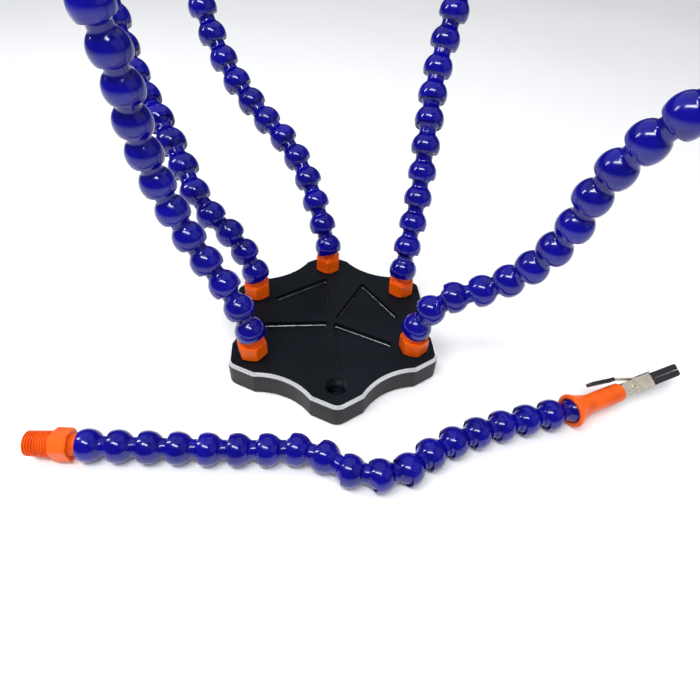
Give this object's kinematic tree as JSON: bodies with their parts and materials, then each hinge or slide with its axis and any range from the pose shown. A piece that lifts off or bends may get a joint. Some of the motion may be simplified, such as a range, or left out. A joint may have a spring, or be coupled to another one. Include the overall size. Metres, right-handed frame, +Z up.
{
  "type": "helping hands clamp",
  "caption": "Soldering helping hands: lobed metal base with threaded ports, flexible ball-and-socket arms and crocodile clips, one arm lying loose.",
  "frame": {"origin": "middle of the base where its anti-slip pad rests on the bench", "axes": "+Z up; -Y towards the front, where the empty threaded port is; +X to the right"},
  "size_m": [0.3821, 0.2727, 0.3357],
  "materials": {
    "black_anodised_aluminium": "black anodised satin with a bare machined chamfer",
    "black_rubber": "matte",
    "blue_plastic": "glossy moulded",
    "orange_plastic": "semi-gloss moulded",
    "nickel_steel": "nickel plated"
  },
  "bodies": {
    "base": {"base_plate": "black_anodised_aluminium", "anti_slip_pad": "black_rubber", "front_left_arm_connector": "orange_plastic", "back_left_arm_connector": "orange_plastic", "back_arm_connector": "orange_plastic", "back_right_arm_connector": "orange_plastic", "front_right_arm_connector": "orange_plastic"},
    "front_left_arm_lower": {"front_left_arm_links_lower": "blue_plastic"},
    "front_left_arm_upper": {"front_left_arm_links_upper": "blue_plastic"},
    "front_left_arm_clip": {"front_left_arm_clip_holder": "orange_plastic", "front_left_arm_clip_fixed_jaw": "nickel_steel"},
    "front_left_arm_jaw": {"front_left_arm_clip_moving_jaw": "nickel_steel"},
    "back_left_arm_lower": {"back_left_arm_links_lower": "blue_plastic"},
    "back_left_arm_upper": {"back_left_arm_links_upper": "blue_plastic"},
    "back_left_arm_clip": {"back_left_arm_clip_holder": "orange_plastic", "back_left_arm_clip_fixed_jaw": "nickel_steel"},
    "back_left_arm_jaw": {"back_left_arm_clip_moving_jaw": "nickel_steel"},
    "back_arm_lower": {"back_arm_links_lower": "blue_plastic"},
    "back_arm_upper": {"back_arm_links_upper": "blue_plastic"},
    "back_arm_clip": {"back_arm_clip_holder": "orange_plastic", "back_arm_clip_fixed_jaw": "nickel_steel"},
    "back_arm_jaw": {"back_arm_clip_moving_jaw": "nickel_steel"},
    "back_right_arm_lower": {"back_right_arm_links_lower": "blue_plastic"},
    "back_right_arm_upper": {"back_right_arm_links_upper": "blue_plastic"},
    "back_right_arm_clip": {"back_right_arm_clip_holder": "orange_plastic", "back_right_arm_clip_fixed_jaw": "nickel_steel"},
    "back_right_arm_jaw": {"back_right_arm_clip_moving_jaw": "nickel_steel"},
    "front_right_arm_lower": {"front_right_arm_links_lower": "blue_plastic"},
    "front_right_arm_upper": {"front_right_arm_links_upper": "blue_plastic"},
    "front_right_arm_clip": {"front_right_arm_clip_holder": "orange_plastic", "front_right_arm_clip_fixed_jaw": "nickel_steel"},
    "front_right_arm_jaw": {"front_right_arm_clip_moving_jaw": "nickel_steel"},
    "loose_arm_connector": {"loose_arm_connector": "orange_plastic"},
    "loose_arm_link_01": {"loose_arm_link_01": "blue_plastic"},
    "loose_arm_link_02": {"loose_arm_link_02": "blue_plastic"},
    "loose_arm_link_03": {"loose_arm_link_03": "blue_plastic"},
    "loose_arm_link_04": {"loose_arm_link_04": "blue_plastic"},
    "loose_arm_link_05": {"loose_arm_link_05": "blue_plastic"},
    "loose_arm_link_06": {"loose_arm_link_06": "blue_plastic"},
    "loose_arm_link_07": {"loose_arm_link_07": "blue_plastic"},
    "loose_arm_link_08": {"loose_arm_link_08": "blue_plastic"},
    "loose_arm_link_09": {"loose_arm_link_09": "blue_plastic"},
    "loose_arm_link_10": {"loose_arm_link_10": "blue_plastic"},
    "loose_arm_link_11": {"loose_arm_link_11": "blue_plastic"},
    "loose_arm_link_12": {"loose_arm_link_12": "blue_plastic"},
    "loose_arm_link_13": {"loose_arm_link_13": "blue_plastic"},
    "loose_arm_link_14": {"loose_arm_link_14": "blue_plastic"},
    "loose_arm_link_15": {"loose_arm_link_15": "blue_plastic"},
    "loose_arm_link_16": {"loose_arm_link_16": "blue_plastic"},
    "loose_arm_link_17": {"loose_arm_link_17": "blue_plastic"},
    "loose_arm_link_18": {"loose_arm_link_18": "blue_plastic"},
    "loose_arm_clip": {"loose_arm_clip_holder": "orange_plastic", "loose_arm_clip_fixed_jaw": "nickel_steel", "loose_arm_clip_rivet": "nickel_steel", "loose_arm_clip_spring": "nickel_steel", "loose_arm_fixed_jaw_sleeve": "black_rubber"},
    "loose_arm_jaw": {"loose_arm_clip_moving_jaw": "nickel_steel", "loose_arm_moving_jaw_sleeve": "black_rubber", "loose_arm_lever_sleeve": "black_rubber"}
  },
  "joints": [
    {"name": "front_left_arm_lean", "type": "hinge", "parent": "base", "child": "front_left_arm_lower", "pos_m": [-0.04503, -0.026, 0.0318], "axis": [0.5, -0.866, 0], "range_deg": [-24, 4]},
    {"name": "front_left_arm_bend", "type": "hinge", "parent": "front_left_arm_lower", "child": "front_left_arm_upper", "pos_m": [-0.08154, -0.01682, 0.15092], "axis": [-0.866, -0.5, 0], "range_deg": [-28, 20]},
    {"name": "front_left_arm_clip_tilt", "type": "hinge", "parent": "front_left_arm_upper", "child": "front_left_arm_clip", "pos_m": [-0.12874, -0.02889, 0.26642], "axis": [0.5, -0.866, 0], "range_deg": [-25, 25]},
    {"name": "front_left_arm_jaw_open", "type": "hinge", "parent": "front_left_arm_clip", "child": "front_left_arm_jaw", "pos_m": [-0.15795, -0.03053, 0.29443], "axis": [0.4524, -0.7835, 0.426], "range_deg": [0, 6], "stiffness_Nm_per_rad": 0.08, "springref_deg": -28.65},
    {"name": "back_left_arm_lean", "type": "hinge", "parent": "base", "child": "back_left_arm_lower", "pos_m": [-0.04503, 0.026, 0.0318], "axis": [-0.5, -0.866, 0], "range_deg": [-44, 2]},
    {"name": "back_left_arm_bend", "type": "hinge", "parent": "back_left_arm_lower", "child": "back_left_arm_upper", "pos_m": [-0.10403, 0.07926, 0.1252], "axis": [-0.866, 0.5, 0], "range_deg": [-27, 33]},
    {"name": "back_left_arm_clip_tilt", "type": "hinge", "parent": "back_left_arm_upper", "child": "back_left_arm_clip", "pos_m": [-0.12523, 0.12397, 0.24125], "axis": [-0.5, -0.866, 0], "range_deg": [-24, 24]},
    {"name": "back_left_arm_jaw_open", "type": "hinge", "parent": "back_left_arm_clip", "child": "back_left_arm_jaw", "pos_m": [-0.1296, 0.12486, 0.28151], "axis": [-0.4997, -0.8655, -0.0351], "range_deg": [0, 6], "stiffness_Nm_per_rad": 0.08, "springref_deg": -28.65},
    {"name": "back_arm_lean", "type": "hinge", "parent": "base", "child": "back_arm_lower", "pos_m": [0, 0.052, 0.0318], "axis": [-1, 0, 0], "range_deg": [-37, 3]},
    {"name": "back_arm_bend", "type": "hinge", "parent": "back_arm_lower", "child": "back_arm_upper", "pos_m": [-0.06063, 0.11767, 0.12131], "axis": [0, 1, 0], "range_deg": [-35, 19]},
    {"name": "back_arm_clip_tilt", "type": "hinge", "parent": "back_arm_upper", "child": "back_arm_clip", "pos_m": [-0.07618, 0.15054, 0.24291], "axis": [-1, 0, 0], "range_deg": [-24, 24]},
    {"name": "back_arm_jaw_open", "type": "hinge", "parent": "back_arm_clip", "child": "back_arm_jaw", "pos_m": [-0.07195, 0.15475, 0.28296], "axis": [-0.9945, 0, 0.1051], "range_deg": [0, 6], "stiffness_Nm_per_rad": 0.08, "springref_deg": -28.65},
    {"name": "back_right_arm_lean", "type": "hinge", "parent": "base", "child": "back_right_arm_lower", "pos_m": [0.04503, 0.026, 0.0318], "axis": [-0.5, 0.866, 0], "range_deg": [-35, 9]},
    {"name": "back_right_arm_bend", "type": "hinge", "parent": "back_right_arm_lower", "child": "back_right_arm_upper", "pos_m": [0.06577, 0.08913, 0.14132], "axis": [0.866, 0.5, 0], "range_deg": [-35, 18]},
    {"name": "back_right_arm_clip_tilt", "type": "hinge", "parent": "back_right_arm_upper", "child": "back_right_arm_clip", "pos_m": [0.10009, 0.10518, 0.26389], "axis": [-0.5, 0.866, 0], "range_deg": [-24, 24]},
    {"name": "back_right_arm_jaw_open", "type": "hinge", "parent": "back_right_arm_clip", "child": "back_right_arm_jaw", "pos_m": [0.10901, 0.10221, 0.30329], "axis": [-0.4922, 0.8525, 0.1757], "range_deg": [0, 6], "stiffness_Nm_per_rad": 0.08, "springref_deg": -28.65},
    {"name": "front_right_arm_lean", "type": "hinge", "parent": "base", "child": "front_right_arm_lower", "pos_m": [0.04503, -0.026, 0.0318], "axis": [0.5, 0.866, 0], "range_deg": [-45, 1]},
    {"name": "front_right_arm_bend", "type": "hinge", "parent": "front_right_arm_lower", "child": "front_right_arm_upper", "pos_m": [0.10475, -0.05108, 0.13554], "axis": [0.866, -0.5, 0], "range_deg": [-28, 21]},
    {"name": "front_right_arm_clip_tilt", "type": "hinge", "parent": "front_right_arm_upper", "child": "front_right_arm_clip", "pos_m": [0.14139, -0.0864, 0.2534], "axis": [0.5, 0.866, 0], "range_deg": [-24, 24]},
    {"name": "front_right_arm_jaw_open", "type": "hinge", "parent": "front_right_arm_clip", "child": "front_right_arm_jaw", "pos_m": [0.14938, -0.08938, 0.29299], "axis": [0.4997, 0.8655, -0.0357], "range_deg": [0, 6], "stiffness_Nm_per_rad": 0.08, "springref_deg": -28.65},
    {"name": "loose_arm_lift", "type": "slide", "parent": "base", "child": "loose_arm_connector", "axis": [0, 0, 1], "range_m": [0, 0.06]},
    {"name": "loose_arm_bend_01", "type": "hinge", "parent": "loose_arm_connector", "child": "loose_arm_link_01", "pos_m": [-0.122, -0.079, 0.00825], "axis": [0, 0, -1], "range_deg": [-8, 24]},
    {"name": "loose_arm_bend_02", "type": "hinge", "parent": "loose_arm_link_01", "child": "loose_arm_link_02", "pos_m": [-0.10766, -0.08026, 0.00825], "axis": [0, 0, -1], "range_deg": [-8, 24]},
    {"name": "loose_arm_bend_03", "type": "hinge", "parent": "loose_arm_link_02", "child": "loose_arm_link_03", "pos_m": [-0.09331, -0.08151, 0.00825], "axis": [0, 0, -1], "range_deg": [-8, 24]},
    {"name": "loose_arm_bend_04", "type": "hinge", "parent": "loose_arm_link_03", "child": "loose_arm_link_04", "pos_m": [-0.07896, -0.08277, 0.00825], "axis": [0, 0, -1], "range_deg": [-8, 24]},
    {"name": "loose_arm_bend_05", "type": "hinge", "parent": "loose_arm_link_04", "child": "loose_arm_link_05", "pos_m": [-0.06462, -0.08402, 0.00825], "axis": [0, 0, 1], "range_deg": [-25, 8]},
    {"name": "loose_arm_bend_06", "type": "hinge", "parent": "loose_arm_link_05", "child": "loose_arm_link_06", "pos_m": [-0.05025, -0.08503, 0.00825], "axis": [0, 0, 1], "range_deg": [-25, 8]},
    {"name": "loose_arm_bend_07", "type": "hinge", "parent": "loose_arm_link_06", "child": "loose_arm_link_07", "pos_m": [-0.03587, -0.08578, 0.00825], "axis": [0, 0, 1], "range_deg": [-25, 8]},
    {"name": "loose_arm_bend_08", "type": "hinge", "parent": "loose_arm_link_07", "child": "loose_arm_link_08", "pos_m": [-0.02148, -0.08628, 0.00825], "axis": [0, 0, 1], "range_deg": [-7, 8]},
    {"name": "loose_arm_bend_09", "type": "hinge", "parent": "loose_arm_link_08", "child": "loose_arm_link_09", "pos_m": [-0.00787, -0.09097, 0.00825], "axis": [0, 0, 1], "range_deg": [-7, 8]},
    {"name": "loose_arm_bend_10", "type": "hinge", "parent": "loose_arm_link_09", "child": "loose_arm_link_10", "pos_m": [0.00378, -0.09943, 0.00825], "axis": [0, 0, 1], "range_deg": [-47, 1]},
    {"name": "loose_arm_bend_11", "type": "hinge", "parent": "loose_arm_link_10", "child": "loose_arm_link_11", "pos_m": [0.01781, -0.10267, 0.00825], "axis": [0, 0, -1], "range_deg": [-1, 47]},
    {"name": "loose_arm_bend_12", "type": "hinge", "parent": "loose_arm_link_11", "child": "loose_arm_link_12", "pos_m": [0.032, -0.10017, 0.00825], "axis": [0, 0, -1], "range_deg": [-1, 47]},
    {"name": "loose_arm_bend_13", "type": "hinge", "parent": "loose_arm_link_12", "child": "loose_arm_link_13", "pos_m": [0.04407, -0.09233, 0.00825], "axis": [0, 0, -1], "range_deg": [-30, 18]},
    {"name": "loose_arm_bend_14", "type": "hinge", "parent": "loose_arm_link_13", "child": "loose_arm_link_14", "pos_m": [0.0569, -0.08579, 0.00825], "axis": [0, 0, -1], "range_deg": [-30, 18]},
    {"name": "loose_arm_bend_15", "type": "hinge", "parent": "loose_arm_link_14", "child": "loose_arm_link_15", "pos_m": [0.07035, -0.08063, 0.00825], "axis": [0, 0, -1], "range_deg": [-30, 18]},
    {"name": "loose_arm_bend_16", "type": "hinge", "parent": "loose_arm_link_15", "child": "loose_arm_link_16", "pos_m": [0.08425, -0.0769, 0.00825], "axis": [0, 0, -1], "range_deg": [-26, 22]},
    {"name": "loose_arm_bend_17", "type": "hinge", "parent": "loose_arm_link_16", "child": "loose_arm_link_17", "pos_m": [0.09829, -0.07366, 0.00825], "axis": [0, 0, -1], "range_deg": [-26, 22]},
    {"name": "loose_arm_bend_18", "type": "hinge", "parent": "loose_arm_link_17", "child": "loose_arm_link_18", "pos_m": [0.11242, -0.07092, 0.00825], "axis": [0, 0, -1], "range_deg": [-26, 22]},
    {"name": "loose_arm_clip_tilt", "type": "hinge", "parent": "loose_arm_link_18", "child": "loose_arm_clip", "pos_m": [0.12661, -0.06867, 0.00924], "axis": [0, 0, -1], "range_deg": [-13, 35]},
    {"name": "loose_arm_jaw_open", "type": "hinge", "parent": "loose_arm_clip", "child": "loose_arm_jaw", "pos_m": [0.16467, -0.05481, 0.00924], "axis": [0.1576, -0.4329, 0.8876], "range_deg": [0, 6], "stiffness_Nm_per_rad": 0.08, "springref_deg": -28.65}
  ]
}
